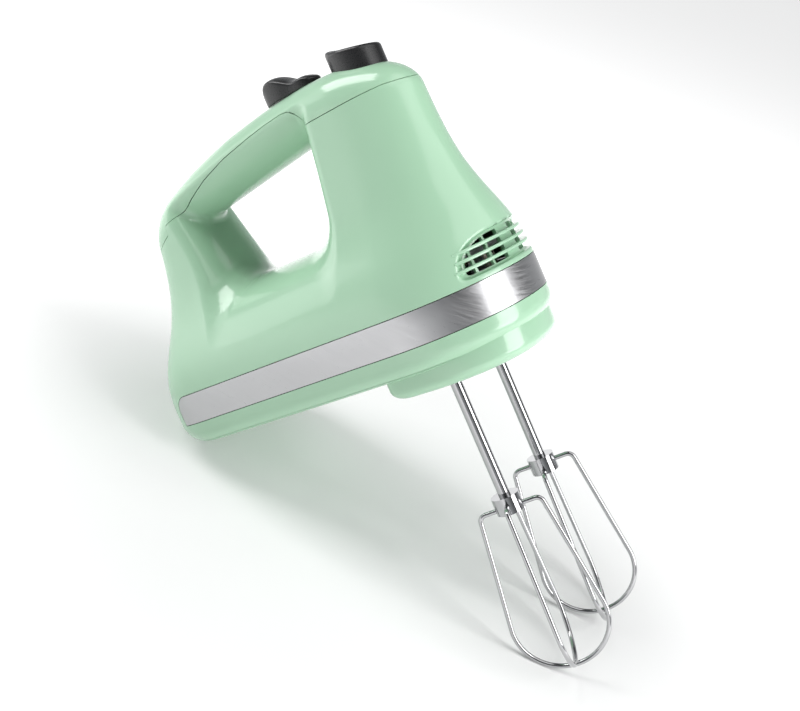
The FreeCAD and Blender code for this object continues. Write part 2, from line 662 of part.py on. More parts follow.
def loop_path(drop):
    """Centre line of one closed wire loop in the X-Z plane: runs joined by tangent arcs."""
    radius, bottom, shoulder = size("cage_radius"), size("cage_bottom") - drop, size("cage_shoulder")
    bend = 3.2
    top = size("collar_top") - size("wire_hole_drop") - drop
    centre = bottom + radius
    # lean of the straight side that touches both the bottom arc and the shoulder
    lean = math.radians(10)
    for _ in range(40):
        touch = (radius * math.cos(lean), centre + radius * math.sin(lean))
        lean = math.atan2(touch[0] - shoulder, top - touch[1])
    half_turn = math.pi / 2 + lean
    cut_back = bend * math.tan((math.pi - half_turn) / 2)
    corner = V(shoulder, 0, top)
    down = V(math.sin(lean), 0, -math.cos(lean))
    start = corner - X_AXIS * cut_back
    end = corner + down * cut_back
    arc_centre = start - Z_AXIS * bend
    middle = arc_centre + ((start - arc_centre) + (end - arc_centre)).normalize() * bend
    touch_point = V(touch[0], 0, touch[1])

    def mirror(p):
        return V(-p.x, p.y, p.z)

    edges = [
        Part.makeLine(mirror(start), start),
        Part.Arc(start, middle, end).toShape(),
        Part.makeLine(end, touch_point),
        Part.Arc(touch_point, V(0, 0, bottom), mirror(touch_point)).toShape(),
        Part.makeLine(mirror(touch_point), mirror(end)),
        Part.Arc(mirror(end), mirror(middle), mirror(start)).toShape(),
    ]
    return Part.Wire(edges)


def wire_loop(drop, turn):
    path = loop_path(drop)
    start = path.Edges[0].Vertexes[0].Point
    profile = Part.Wire([Part.Circle(start, X_AXIS, size("wire_radius")).toShape()])
    loop = path.makePipeShell([profile], True, True)
    loop.rotate(V(), Z_AXIS, turn)
    return loop


for name, side in SIDES:
    axis_at = V(size("spindle_x"), side * size("spindle_spacing") / 2, 0)
    shaft_low = size("collar_top") - 1.6
    stem = rod("beater_shaft_radius", "beater_top - collar_top + 1.6", axis_at + V(0, 0, shaft_low))
    stem_tip = doc.addObject("Part::Chamfer", "StemTip")
    doc.recompute()
    stem_tip.Base = stem
    tip_edges = [i + 1 for i, e in enumerate(stem.Shape.Edges) if e.BoundBox.ZMin > 10]
    stem_tip.Edges = [(i, 0.8, 0.8) for i in tip_edges]
    keep(stem_tip, f"{name}_beater_shaft")
    collar_low = size("collar_top") - size("collar_height")
    collar = cut(rod("collar_radius", "collar_height", axis_at + V(0, 0, collar_low)),
                 rod("beater_shaft_radius + 0.02", "3", axis_at + V(0, 0, shaft_low - 0.02)))
    turn = LOOP_TURN[name]
    holes = []
    for step in range(2):
        angle = math.radians(turn + 90 * step)
        along = V(math.cos(angle), math.sin(angle), 0)
        hole_height = size("collar_top") - size("wire_hole_drop") - size("loop_step") * step
        at = axis_at + V(0, 0, hole_height) - along * 12
        holes.append(rod("wire_radius + 0.02", "24", at, along))
    keep(cut(collar, *holes), f"{name}_beater_collar")
    for step, letter in enumerate("ab"):
        loop = feature(wire_loop(size("loop_step") * step, turn + 90 * step), "Loop")
        loop.Placement.Base = axis_at
        keep(loop, f"{name}_beater_loop_{letter}")

# ---------------------------------------------------------------- eject button and linkage

button_low = size("button_low")
button_top_rear, button_top_front = 137.3, 132.4
radius = size("button_radius")
button_solid = Part.makeCylinder(radius, 40, V(size("button_x"), 0, button_low))
top_cut = [(size("button_x") - radius - 2, button_top_rear + 0.5), (size("button_x"), 135.6),
           (size("button_x") + radius + 2, button_top_front - 0.5)]
button_solid = button_solid.common(side_profile(top_cut, button_low - 5))
rim = [e for e in button_solid.Edges if e.BoundBox.ZMin > 125 and e.BoundBox.ZLength > 1 and e.Length > 20]
button_solid = button_solid.makeFillet(1.6, rim)
hollow = Part.makeCylinder(radius - 2.2, 130 - button_low, V(size("button_x"), 0, button_low - 1))
core_post = Part.makeCylinder(4.2, 18, V(size("spindle_x"), 0, button_low))
core_limit = Part.makeCylinder(radius - 0.5, 60, V(size("button_x"), 0, 100))
button_solid = button_solid.cut(hollow).fuse(core_post.common(core_limit))
rod_socket = Part.makeCylinder(size("rod_radius") + 0.02, 12, V(size("spindle_x"), 0, button_low - 1))
button_solid = button_solid.cut(rod_socket)
keep(feature(button_solid.removeSplitter(), "Button"), "eject_button")

rod_low = size("plate_low") + size("plate_thickness")
rod_length = button_low + 10.8 - rod_low
eject_rod = rod("rod_radius", str(rod_length), V(size("spindle_x"), 0, rod_low + 0.02))
rod_collar = tube("spring_radius + 1.4", "rod_radius - 0.1", "1.6", V(size("spindle_x"), 0, 109.5))
keep(fuse(eject_rod, rod_collar), "eject_rod")

plate_outline = [(152.5, -26), (163.5, -26), (165, -8), (165, 8), (163.5, 26), (152.5, 26), (151, 8), (151, -8)]
eject_plate = padded_body("EjectPlate", "plate_thickness", corners=plate_outline)
eject_plate.Placement.Base = V(0, 0, size("plate_low"))
keep(eject_plate, "eject_plate")

guide = Part.makeBox(15, 35, 3, V(147.5, -17.5, size("guide_height")))
guide_bore_at = V(size("spindle_x"), 0, size("guide_height") - 2)
guide = guide.cut(Part.makeCylinder(size("rod_radius") + 0.08, 9, guide_bore_at))
keep(feature(guide, "Guide"), "eject_guide")

spring_low = size("guide_height") + 3.15 + size("spring_wire")
spring_high = 109.5 - 0.15 - size("spring_wire")
spring_path = Part.Wire(Part.makeHelix((spring_high - spring_low) / size("spring_turns"),
                                       spring_high - spring_low, size("spring_radius") - 1).Edges)
spring_circle = Part.Circle(V(size("spring_radius") - 1, 0, 0), Y_AXIS, size("spring_wire"))
spring_profile = Part.Wire([spring_circle.toShape()])
spring = feature(spring_path.makePipeShell([spring_profile], True, True), "Spring")
spring.Placement.Base = V(size("spindle_x"), 0, spring_low)
keep(spring, "eject_spring")

# ---------------------------------------------------------------- speed slider and switch

slider_low = size("slider_low")
rear, span = size("slider_rear"), size("slider_length")
high = size("slider_height")
side_view = [(0, 0.6), (1.4, 0.5 * high), (3.4, 0.9 * high), (6, high), (10, 0.98 * high), (13.5, 0.86 * high),
             (17, 0.62 * high), (20.5, 0.46 * high), (24, 0.44 * high), (27, 0.36 * high), (span, 0.6)]
profile_points = [V(rear + x, -30, slider_low + z) for x, z in side_view]
profile_curve = Part.BSplineCurve()
profile_curve.interpolate(profile_points)
low_rear, low_front = V(rear, -30, slider_low), V(rear + span, -30, slider_low)
profile_edges = [profile_curve.toShape(), Part.makeLine(profile_points[-1], low_front),
                 Part.makeLine(low_front, low_rear), Part.makeLine(low_rear, profile_points[0])]
slider = Part.Face(Part.Wire(profile_edges)).extrude(V(0, 60, 0))
half = size("slider_half_width")
plan_nose = rounded_end(rear + span, span / 2, half, 2.4)
plan_tail = rounded_end(rear, -span / 2, half, 2.6)
plan_points = plan_nose[:-1] + list(reversed(plan_tail))[:-1]
plan = closed_spline([V(x, y, slider_low - 1) for x, y in plan_points])
slider = slider.common(Part.Face(plan).extrude(V(0, 0, 20)))
slider_stem = Part.makeBox(stem_length, 2 * size("stem_half_width"), 9,
                           V(stem_x, -size("stem_half_width"), slider_low - 7.5))
keep(feature(slider.fuse(slider_stem).removeSplitter(), "Slider"), "speed_slider")

carriage_low = slider_low - 9.6
carriage = cut(block("14", "13", "4.6", V(stem_x + stem_length / 2, 0, carriage_low)),
               block("8.04", "2 * stem_half_width + 0.04", "4", V(stem_x + stem_length / 2, 0, slider_low - 7.52)))
keep(carriage, "switch_carriage")
switch_body = block("36", "17", "7", V(stem_x + 10, 0, carriage_low - 7.4))
keep(switch_body, "speed_switch")

# ---------------------------------------------------------------- electrics and fasteners

board = block("board_thickness", "34", "30", V(26, 0, 8))
keep(board, "control_board")
gland = cut(fuse(rod("gland_radius", "14", V(-1.2, 0, size("motor_height")), X_AXIS),
                 rod("gland_radius + 1.6", "2", V(-3.0, 0, size("motor_height")), X_AXIS)),
            rod("lead_bore", "20", V(-5, 0, size("motor_height")), X_AXIS))
keep(gland, "cord_inlet_gland")

housing_screws = []
for x, y in boss_places():
    head = rod("screw_head_radius", "2", V(x, y, 1.1 - 2.2))
    thread = rod("screw_radius", "15", V(x, y, 0.8))
    slot = block("4", "0.8", "0.8", V(x, y, -1.2))
    housing_screws.append(cut(fuse(head, thread), slot))
keep(group(*housing_screws), "housing_screws")

bridge_screws = [rod("screw_radius", "24", V(x, y, 9.5)) for x, y in POST_PLACES]
keep(group(*bridge_screws), "gearbox_screws")
stator_screws = []
for side in (1, -1):
    at = on_motor(70.5) + V(0, side * 21.75, 0)
    stator_screws.append(fuse(rod("screw_radius", "62", at, X_AXIS),
                              rod("screw_head_radius - 0.4", "2", at - V(2, 0, 0), X_AXIS)))
keep(group(*stator_screws), "stator_screws")

doc.recompute()

# ---------------------------------------------------------------- resting attitude

by_label = {item.Label: item for item in PARTS}
heel = [by_label["base_cover"].Shape, by_label["main_housing"].Shape]
tips = [by_label[f"{name}_beater_loop_{letter}"].Shape for name, _ in SIDES for letter in "ab"]
small, large = math.radians(20), math.radians(70)
heel_points = [p for shape in heel for p in shape.tessellate(0.1)[0] if p.x < 60 and p.z < 40]
tip_points = [p for shape in tips for p in shape.tessellate(0.05)[0] if p.z < -120]
for _ in range(40):
    middle = (small + large) / 2
    heel_low = min(math.sin(middle) * p.x + math.cos(middle) * p.z for p in heel_points)
    tip_low = min(math.sin(middle) * p.x + math.cos(middle) * p.z for p in tip_points)
    if tip_low < heel_low:
        small = middle
    else:
        large = middle
rest_angle = (small + large) / 2
turn = FreeCAD.Placement(V(), FreeCAD.Rotation(Y_AXIS, -math.degrees(rest_angle)))
box = FreeCAD.BoundBox()
for item in PARTS:
    for point in item.Shape.tessellate(0.1)[0]:
        box.add(turn.multVec(point))
shift = FreeCAD.Placement(V(-box.Center.x, -box.Center.y, -box.ZMin), FreeCAD.Rotation())
attitude = shift.multiply(turn)
for item in PARTS:
    item.Placement = attitude.multiply(item.Placement)
doc.recompute()

# ---------------------------------------------------------------- check and export

for item in doc.Objects:
    if "Invalid" in item.State or "Error" in item.State:
        raise RuntimeError(f"{item.Name} did not compute: {item.State}")
faulty = [item.Label for item in PARTS if not item.Shape.isValid()]
if faulty:
    raise RuntimeError(f"these shapes are not valid: {faulty}")
for item in PARTS:
    item.Shape.exportStep(f"parts/{item.Label}.step")
print("rest angle", math.degrees(rest_angle), "shift", *shift.Base)
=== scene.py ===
import bmesh
import bpy
import json
import math
import numpy as np
from mathutils import Matrix, Vector


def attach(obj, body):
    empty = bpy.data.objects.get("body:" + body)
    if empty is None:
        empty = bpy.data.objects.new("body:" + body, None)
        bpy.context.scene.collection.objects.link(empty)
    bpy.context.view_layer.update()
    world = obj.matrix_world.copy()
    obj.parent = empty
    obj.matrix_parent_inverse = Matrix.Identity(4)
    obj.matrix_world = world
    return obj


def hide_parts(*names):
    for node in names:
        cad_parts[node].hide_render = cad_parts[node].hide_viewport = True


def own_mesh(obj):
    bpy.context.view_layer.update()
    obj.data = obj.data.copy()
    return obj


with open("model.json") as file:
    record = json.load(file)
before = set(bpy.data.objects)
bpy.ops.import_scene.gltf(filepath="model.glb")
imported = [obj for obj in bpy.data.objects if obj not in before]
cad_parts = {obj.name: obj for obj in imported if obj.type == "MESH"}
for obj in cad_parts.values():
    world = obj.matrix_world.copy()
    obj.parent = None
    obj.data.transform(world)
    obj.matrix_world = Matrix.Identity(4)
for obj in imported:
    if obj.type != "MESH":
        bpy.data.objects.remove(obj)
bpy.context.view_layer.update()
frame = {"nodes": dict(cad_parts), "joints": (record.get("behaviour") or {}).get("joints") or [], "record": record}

# Hand mixer. The housing is worked out as a smooth field in the mixer's own level frame, in
# millimetres: X from heel to nose, Y to the user's left, Z up, Z = 0 at the housing's lower edge.
# The motor's joint gives the turn and shift from there to the row frame, in metres.

MM = 0.001
MOTOR_POINT = (88.0, 0.0, 30.0)

JOINTS = {joint["name"]: joint for joint in frame["joints"]}
forward = np.array(JOINTS["motor_spin"]["axis"], float)
forward /= np.linalg.norm(forward)
upward = np.array([-forward[2], 0.0, forward[0]])
TURN = np.stack([forward, [0.0, 1.0, 0.0], upward], axis=1)
SHIFT = np.array(JOINTS["motor_spin"]["pos_m"]) - TURN @ (np.array(MOTOR_POINT) * MM)


def to_row(points):
    """Points from the mixer's level frame in mm to the row frame in metres."""
    return np.asarray(points, float) * MM @ TURN.T + SHIFT


# ------------------------------------------------------------------ housing field

# height, half width, rear end, front end of the level sections
LEVELS = np.array([
    (-20, 45, -1, 200), (12, 45, -1, 200), (26, 45, -0.5, 200), (35, 43.4, 1.5, 199.5),
    (43, 40.2, 4.5, 198.6), (50, 36.2, 8, 196.8), (57, 32.3, 11.5, 194.4), (65, 28.7, 15, 191.8),
    (75, 25.9, 18.5, 189), (87, 24.0, 21.5, 187.2), (100, 22.9, 24, 186.4), (115, 22, 26, 186),
    (145, 21, 28, 185)])
RIDGE = np.array([
    (-60, 40), (-40, 60), (-15, 84), (10, 101), (26, 109.5), (45, 117), (65, 122.6), (90, 127.3),
    (115, 129.6), (140, 130.3), (155, 129.5), (162, 128.3), (168, 127.1), (174, 126.2), (180, 125.3),
    (188, 124), (196, 121), (205, 117), (215, 112)])
CROWN_RADIUS = 14.0
FOOT_RADIUS = 8.0
HEEL_EXTRA = 5.4
NOSE_FULL, TAIL_FULL = 2.15, 2.5
WIDEST_HALF = 45.0
NOSE_REACH, NOSE_TAPER = 52.0, 0.6
TAIL_REACH, TAIL_TAPER = 34.0, 0.7


def smooth_table(table, column, start, stop, step=0.5, blur=4.0):
    """A table column resampled evenly and rounded off, as (positions, values)."""
    at = np.arange(start, stop, step)
    raw = np.interp(at, table[:, 0], table[:, column])
    reach = int(4 * blur / step)
    weights = np.exp(-0.5 * (np.arange(-reach, reach + 1) * step / blur) ** 2)
    padded = np.pad(raw, reach, mode="reflect", reflect_type="odd")
    return at, np.convolve(padded, weights / weights.sum(), mode="valid")


HALF_WIDTH = smooth_table(LEVELS, 1, -20, 145)
REAR_END = smooth_table(LEVELS, 2, -20, 145)
FRONT_END = smooth_table(LEVELS, 3, -20, 145)
RIDGE_LINE = smooth_table(RIDGE, 1, -60, 215)


def look_up(table, at):
    return np.interp(at, table[0], table[1])


def round_max(a, b, radius):
    """Where two fields meet in a rounded outer edge."""
    both = np.hypot(np.maximum(a + radius, 0), np.maximum(b + radius, 0))
    return np.minimum(np.maximum(a, b), -radius) + both


def round_min(a, b, radius):
    return -round_max(-a, -b, radius)


def side_field(x, y, z):
    """Distance-like field of the upright walls."""
    half = look_up(HALF_WIDTH, z)
    rear, front = look_up(REAR_END, z), look_up(FRONT_END, z)
    share = half / WIDEST_HALF
    nose, tail = NOSE_REACH * share ** NOSE_TAPER, TAIL_REACH * share ** TAIL_TAPER
    across = np.abs(y) / half
    nose_along = np.maximum((x - (front - nose)) / nose, 0)
    tail_along = np.maximum(((rear + tail) - x) / tail, 0)
    nose_reach = (across ** NOSE_FULL + nose_along ** NOSE_FULL) ** (1 / NOSE_FULL)
    tail_reach = (across ** TAIL_FULL + tail_along ** TAIL_FULL) ** (1 / TAIL_FULL)
    return (np.maximum(nose_reach, tail_reach) - 1) * half


def opening_field(x, y, z):
    """Negative inside the grip opening, which flares towards both sides."""
    flare = (np.abs(y) / 35.0) ** 2.5
    flare_in_grip = (np.abs(y) / 20.0) ** 2.2
    rear = -(0.97 * (x - 54.5) + 0.24 * (z - 99)) - 15 * flare
    bottom = (64.4 - 14 * flare) - z
    front = 0.976 * (x - 129.0) - 0.18 * (z - 77) - 13 * flare
    grip = 0.995 * (z - 99.6 - 0.1 * (x - 54)) - 14 * flare_in_grip
    lower = round_max(round_max(rear, bottom, 11), front, 17)
    return round_max(lower, grip, 5)


def solid_field(x, y, z):
    """The whole outer form with the grip opening."""
    walls = side_field(x, y, z)
    crown = (z - look_up(RIDGE_LINE, x)) * 0.95
    foot = FOOT_RADIUS + HEEL_EXTRA * np.clip((30 - x) / 25, 0, 1)
    form = round_max(round_max(walls, crown, CROWN_RADIUS), -z, foot)
    return round_max(form, -opening_field(x, y, z), 3.5)


# ------------------------------------------------------------------ fields cut by seams

SEAM = np.array([
    (43, 104.4), (52.5, 107.1), (60.4, 110.2), (74.3, 114.8), (90, 118.6), (108.2, 121.3),
    (120, 122.6), (129, 123.1), (133, 122.6), (135.6, 120.6), (137.3, 117.6), (138.6, 113.9),
    (152.9, 113.8), (164.2, 113.9), (178, 114), (190, 112.5), (210, 108.5)])
HEEL_SEAM = np.array([(-40, 66), (42, 99.5)])
BASE_SEAM = 1.5
BAND_LOW, BAND_HIGH, BAND_TAIL, BAND_CORNER = 12.0, 26.2, 19.0, 8.0
SEAM_GAP = 0.3


def seam_field(x, y, z):
    """Positive above the seam between the top cover and the housing."""
    grip = z - np.interp(x, SEAM[:, 0], SEAM[:, 1])
    slope = (HEEL_SEAM[1, 1] - HEEL_SEAM[0, 1]) / (HEEL_SEAM[1, 0] - HEEL_SEAM[0, 0])
    heel = z - (HEEL_SEAM[0, 1] + slope * (x - HEEL_SEAM[0, 0]))
    steep = np.where((x > 134) & (x < 139), 0.45, 0.97)
    return np.where(x < 42.5, heel * 0.92, grip * steep)


def band_field(x, y, z):
    """Negative inside the trim band, whose upper rear corner is round."""
    level = np.abs(z - (BAND_LOW + BAND_HIGH) / 2) - (BAND_HIGH - BAND_LOW) / 2
    tail = BAND_TAIL - x
    corner = round_max(z - BAND_HIGH, tail, BAND_CORNER)
    return np.maximum(np.maximum(level, tail), corner)


VENT_LOW, VENT_HIGH, VENT_REAR = 28.6, 43.8, 185.2
VENT_DEPTH = 2.6
VENT_CORNER, VENT_LEAN = 9.0, 0.1
ROW_PITCH, ROW_COUNT, FIN_THICKNESS = 3.6, 4, 1.4
FIRST_ROW = 30.7
VENT_CENTRE = 150.0
SECTORS = [(7, 18), (19.4, 29.6), (31, 37.3)]


def vent_window(x, y, z):
    """Negative inside the recess that wraps round the nose; its upper rear corner is round."""
    level = np.abs(z - (VENT_LOW + VENT_HIGH) / 2) - (VENT_HIGH - VENT_LOW) / 2
    rear = (VENT_REAR - x) + VENT_LEAN * (z - VENT_LOW)
    corner = round_max(z - VENT_HIGH, rear, VENT_CORNER)
    low_corner = round_max(VENT_LOW - z, rear, 3)
    return np.maximum(np.maximum(level, rear), np.maximum(corner, low_corner))


def shell_field(x, y, z):
    """The outer form with the vent recess stepped into it."""
    form = solid_field(x, y, z)
    recess = round_min(form + VENT_DEPTH, -vent_window(x, y, z) * 1.2, 0.8)
    return round_max(form, recess, 0.6)


def slot_field(x, y, z):
    """Negative inside the air slots between the ribs."""
    row = np.clip(np.round((z - FIRST_ROW) / ROW_PITCH), 0, ROW_COUNT - 1)
    gap = np.abs(z - FIRST_ROW - row * ROW_PITCH) - (ROW_PITCH - FIN_THICKNESS) / 2
    angle = np.degrees(np.arctan2(np.abs(y), x - VENT_CENTRE))
    sector = np.full_like(angle, 90.0)
    for start, end in SECTORS:
        sector = np.minimum(sector, np.abs(angle - (start + end) / 2) - (end - start) / 2)
    rim = vent_window(x, y, z) + 1.0
    return np.maximum(np.maximum(gap, sector * 0.8), rim)


# ------------------------------------------------------------------ meshing

def surface_nets(field, low, step):
    """Vertices and quads of the zero surface of a sampled field: one vertex per crossed cell."""
    shape = field.shape
    cells = tuple(n - 1 for n in shape)
    total = np.zeros((int(np.prod(cells)), 3))
    count = np.zeros(int(np.prod(cells)))
    faces = []
    for axis in range(3):
        near = [slice(None)] * 3
        far = [slice(None)] * 3
        near[axis], far[axis] = slice(0, -1), slice(1, None)
        a, b = field[tuple(near)], field[tuple(far)]
        crossing = (a < 0) != (b < 0)
        index = np.argwhere(crossing)
        va, vb = a[crossing], b[crossing]
        point = index.astype(float)
        point[:, axis] += va / (va - vb)
        others = [i for i in range(3) if i != axis]
        corner_ids, usable = [], np.ones(len(index), bool)
        for d0, d1 in ((1, 1), (0, 1), (0, 0), (1, 0)):
            cell = index.copy()
            cell[:, others[0]] -= d0
            cell[:, others[1]] -= d1
            good = np.all((cell >= 0) & (cell < np.array(cells)), axis=1)
            ids = np.ravel_multi_index(np.clip(cell, 0, np.array(cells) - 1).T, cells)
            for k in range(3):
                total[:, k] += np.bincount(ids[good], point[good, k], len(count))
            count += np.bincount(ids[good], minlength=len(count))
            corner_ids.append(ids)
            usable &= good
        quads = np.stack(corner_ids, axis=1)[usable]
        flip = (va[usable] > 0) != (axis == 1)
        quads[flip] = quads[flip][:, ::-1]
        faces.append(quads)
    used = np.flatnonzero(count)
    order = np.full(len(count), -1)
    order[used] = np.arange(len(used))
    verts = low + step * total[used] / count[used][:, None]
    return verts, order[np.concatenate(faces)]


def gradient(field, points, reach=0.05):
    parts = []
    for axis in range(3):
        offset = np.zeros(3)
        offset[axis] = reach
        ahead, behind = points + offset, points - offset
        parts.append((field(*ahead.T) - field(*behind.T)) / (2 * reach))
    return np.stack(parts, axis=1)


def settle(field, points, rounds=3, most=0.6):
    """Moves points onto the field's zero surface along its slope."""
    for _ in range(rounds):
        slope = gradient(field, points)
        value = field(*points.T)
        move = -value / np.maximum((slope ** 2).sum(1), 0.05)
        length = np.abs(move) * np.linalg.norm(slope, axis=1)
        move *= np.minimum(1, most / np.maximum(length, 1e-9))
        points = points + slope * move[:, None]
    return points


def sampled_surface(field, low, high, step):
    """Triangles of a field's surface between two corners."""
    axes = [np.arange(a, b + step, step) for a, b in zip(low, high)]
    values = field(*np.meshgrid(*axes, indexing="ij"))
    verts, quads = surface_nets(values, np.array(low, float), step)
    verts = settle(field, verts)
    tris = np.concatenate([quads[:, [0, 1, 2]], quads[:, [0, 2, 3]]])
    return verts, tris


def keep_side(verts, tris, values):
    """The part of a triangle mesh where values are positive, cut cleanly along zero."""
    sign = values > 0
    counts = sign[tris].sum(1)
    whole = tris[counts == 3]
    cut_tris = tris[(counts == 1) | (counts == 2)]
    new_points, made, extra = [], {}, []

    def crossing(a, b):
        key = (a, b) if a < b else (b, a)
        if key not in made:
            va, vb = values[a], values[b]
            share = va / (va - vb)
            made[key] = len(verts) + len(new_points)
            new_points.append(verts[a] + (verts[b] - verts[a]) * share)
        return made[key]

    for tri in cut_tris:
        inside = sign[tri]
        if inside.sum() == 2:
            a, b, c = (int(i) for i in np.roll(tri, 2 - int(np.argmin(inside))))
            p, q = crossing(b, c), crossing(a, c)
            extra += [(a, b, p), (a, p, q)]
        else:
            a, b, c = (int(i) for i in np.roll(tri, -int(np.argmax(inside))))
            extra.append((a, crossing(a, b), crossing(a, c)))
    points = np.concatenate([verts, np.array(new_points).reshape(-1, 3)])
    faces = np.concatenate([whole, np.array(extra, int).reshape(-1, 3)])
    used = np.unique(faces)
    order = np.full(len(points), -1)
    order[used] = np.arange(len(used))
    return points[used], order[faces]


def open_edges(tris):
    """Directed edges that only one triangle uses."""
    directed = np.concatenate([tris[:, [0, 1]], tris[:, [1, 2]], tris[:, [2, 0]]])
    keys = np.sort(directed, axis=1)
    _, first, count = np.unique(keys, axis=0, return_index=True, return_counts=True)
    return directed[first[count == 1]]


def add_lip(field, verts, tris, depth):
    """Turns the open rims inwards, so that a thin shell shows its thickness at every edge."""
    rim = open_edges(tris)
    ids = np.unique(rim)
    slope = gradient(field, verts[ids])
    slope /= np.linalg.norm(slope, axis=1)[:, None]
    base = len(verts)
    outer_row = verts[ids]
    inner_row = outer_row - slope * depth
    order = np.full(len(verts), -1)
    order[ids] = np.arange(len(ids))
    a, b = order[rim[:, 0]], order[rim[:, 1]]
    shift = len(ids)
    lip = np.concatenate([np.stack([b, a, a + shift], 1), np.stack([b, a + shift, b + shift], 1)]) + base
    return np.concatenate([verts, outer_row, inner_row]), np.concatenate([tris, lip])


def mesh_object(name, verts, faces, body, node=None, material=None, smooth=True):
    """A piece from level-frame points, riding on a body."""
    mesh = bpy.data.meshes.new(name)
    mesh.from_pydata([tuple(p) for p in to_row(verts)], [], [tuple(int(i) for i in f) for f in faces])
    mesh.validate()
    if smooth:
        mesh.polygons.foreach_set("use_smooth", np.ones(len(mesh.polygons), bool))
    obj = bpy.data.objects.new(name, mesh)
    bpy.context.scene.collection.objects.link(obj)
    if material:
        mesh.materials.append(material)
    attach(obj, body)
    if node:
        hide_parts(node)
    return obj


# ------------------------------------------------------------------ materials

def new_material(name):
    material = bpy.data.materials.new(name)
    material.use_nodes = True
    nodes, links = material.node_tree.nodes, material.node_tree.links
    return material, nodes, links, nodes["Principled BSDF"]


def object_coordinates(nodes, links, stretch=(1, 1, 1)):
    coords = nodes.new("ShaderNodeTexCoord")
    mapping = nodes.new("ShaderNodeMapping")
    mapping.inputs["Scale"].default_value = stretch
    links.new(coords.outputs["Object"], mapping.inputs["Vector"])
    return mapping.outputs["Vector"]


def noise(nodes, links, vector, scale, detail=3.0, roughness=0.55):
    texture = nodes.new("ShaderNodeTexNoise")
    texture.inputs["Scale"].default_value = scale
    texture.inputs["Detail"].default_value = detail
    texture.inputs["Roughness"].default_value = roughness
    links.new(vector, texture.inputs["Vector"])
    return texture.outputs["Fac"]


def spread(nodes, links, value, low, high):
    """Maps a noise value to a narrow range."""
    mapped = nodes.new("ShaderNodeMapRange")
    mapped.inputs["From Min"].default_value = 0.3
    mapped.inputs["From Max"].default_value = 0.7
    mapped.inputs["To Min"].default_value = low
    mapped.inputs["To Max"].default_value = high
    links.new(value, mapped.inputs["Value"])
    return mapped.outputs["Result"]


def tint(nodes, links, value, first, second):
    mix = nodes.new("ShaderNodeMix")
    mix.data_type = "RGBA"
    links.new(value, mix.inputs["Factor"])
    mix.inputs["A"].default_value = (*first, 1)
    mix.inputs["B"].default_value = (*second, 1)
    return mix.outputs["Result"]


def bump(nodes, links, shader, height, strength, distance):
    node = nodes.new("ShaderNodeBump")
    node.inputs["Strength"].default_value = strength
    node.inputs["Distance"].default_value = distance
    links.new(height, node.inputs["Height"])
    links.new(node.outputs["Normal"], shader.inputs["Normal"])


def surface_material(name, colour, rough, metallic=0.0, vary=0.06, grain=900.0, grain_depth=0.00002,
                     grain_strength=0.15, stretch=(1, 1, 1), rough_vary=0.25, coat=0.0, coat_rough=0.05,
                     specular=0.5):
    """A solid material with slight colour, roughness and height variation."""
    material, nodes, links, shader = new_material(name)
    vector = object_coordinates(nodes, links, stretch)
    broad = noise(nodes, links, vector, 18.0, 2.0)
    fine = noise(nodes, links, vector, grain, 4.0)
    darker = tuple(c * (1 - vary) for c in colour)
    lighter = tuple(min(1.0, c * (1 + vary)) for c in colour)
    shade = tint(nodes, links, spread(nodes, links, broad, 0, 1), darker, lighter)
    links.new(shade, shader.inputs["Base Color"])
    rough_value = spread(nodes, links, fine, rough * (1 - rough_vary), rough * (1 + rough_vary))
    links.new(rough_value, shader.inputs["Roughness"])
    bump(nodes, links, shader, fine, grain_strength, grain_depth)
    shader.inputs["Metallic"].default_value = metallic
    shader.inputs["Coat Weight"].default_value = coat
    shader.inputs["Coat Roughness"].default_value = coat_rough
    shader.inputs["Specular IOR Level"].default_value = specular
    return material


